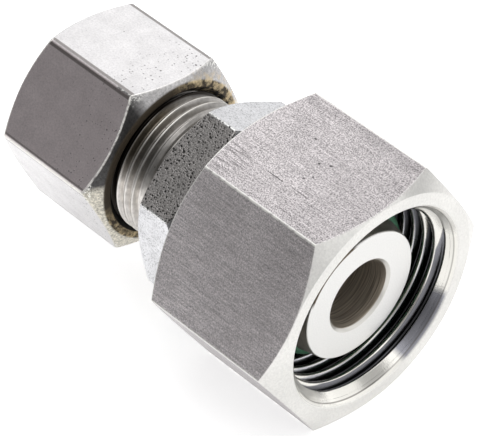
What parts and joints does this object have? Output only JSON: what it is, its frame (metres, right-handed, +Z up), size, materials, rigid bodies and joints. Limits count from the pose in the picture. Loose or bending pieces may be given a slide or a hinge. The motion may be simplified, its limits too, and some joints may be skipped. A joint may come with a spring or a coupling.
{
  "type": "hydraulic reducer",
  "caption": "Straight steel tube-fitting reducer with a swivel nut and sealing cone on its larger end and a cutting ring with union nut on its smaller end.",
  "frame": {"origin": "centre of the sealing cone's front face, on the flow axis", "axes": "+X along the flow axis, out of the sealing cone; +Z up as the part lies on one flat of its swivel nut; +Y completes the right-handed frame"},
  "size_m": [0.061, 0.0414, 0.036],
  "materials": {
    "body_steel": "turned",
    "swivel_steel": "milled",
    "union_steel": "worn",
    "ring_steel": "turned",
    "wire_steel": "drawn",
    "seal_rubber": "matte"
  },
  "bodies": {
    "body": {"reducer_body": "body_steel", "retaining_wire": "wire_steel", "cone_seal": "seal_rubber"},
    "swivel": {"swivel_nut": "swivel_steel"},
    "ring": {"cutting_ring": "ring_steel"},
    "union": {"union_nut": "union_steel"}
  },
  "joints": [
    {"name": "swivel_turn", "type": "hinge", "parent": "swivel", "child": "body", "pos_m": [0, 0, 0], "axis": [1, 0, 0], "continuous": true},
    {"name": "union_travel", "type": "slide", "parent": "body", "child": "ring", "axis": [1, 0, 0], "range_m": [-0.00685, 0]},
    {"name": "union_turn", "type": "hinge", "parent": "ring", "child": "union", "pos_m": [-0.0475, 0, 0], "axis": [1, 0, 0], "range_deg": [-1620, 0]}
  ],
  "couplings": [
    {"joint": "union_travel", "follows": "union_turn", "m_per_rad": 0.00023873}
  ]
}
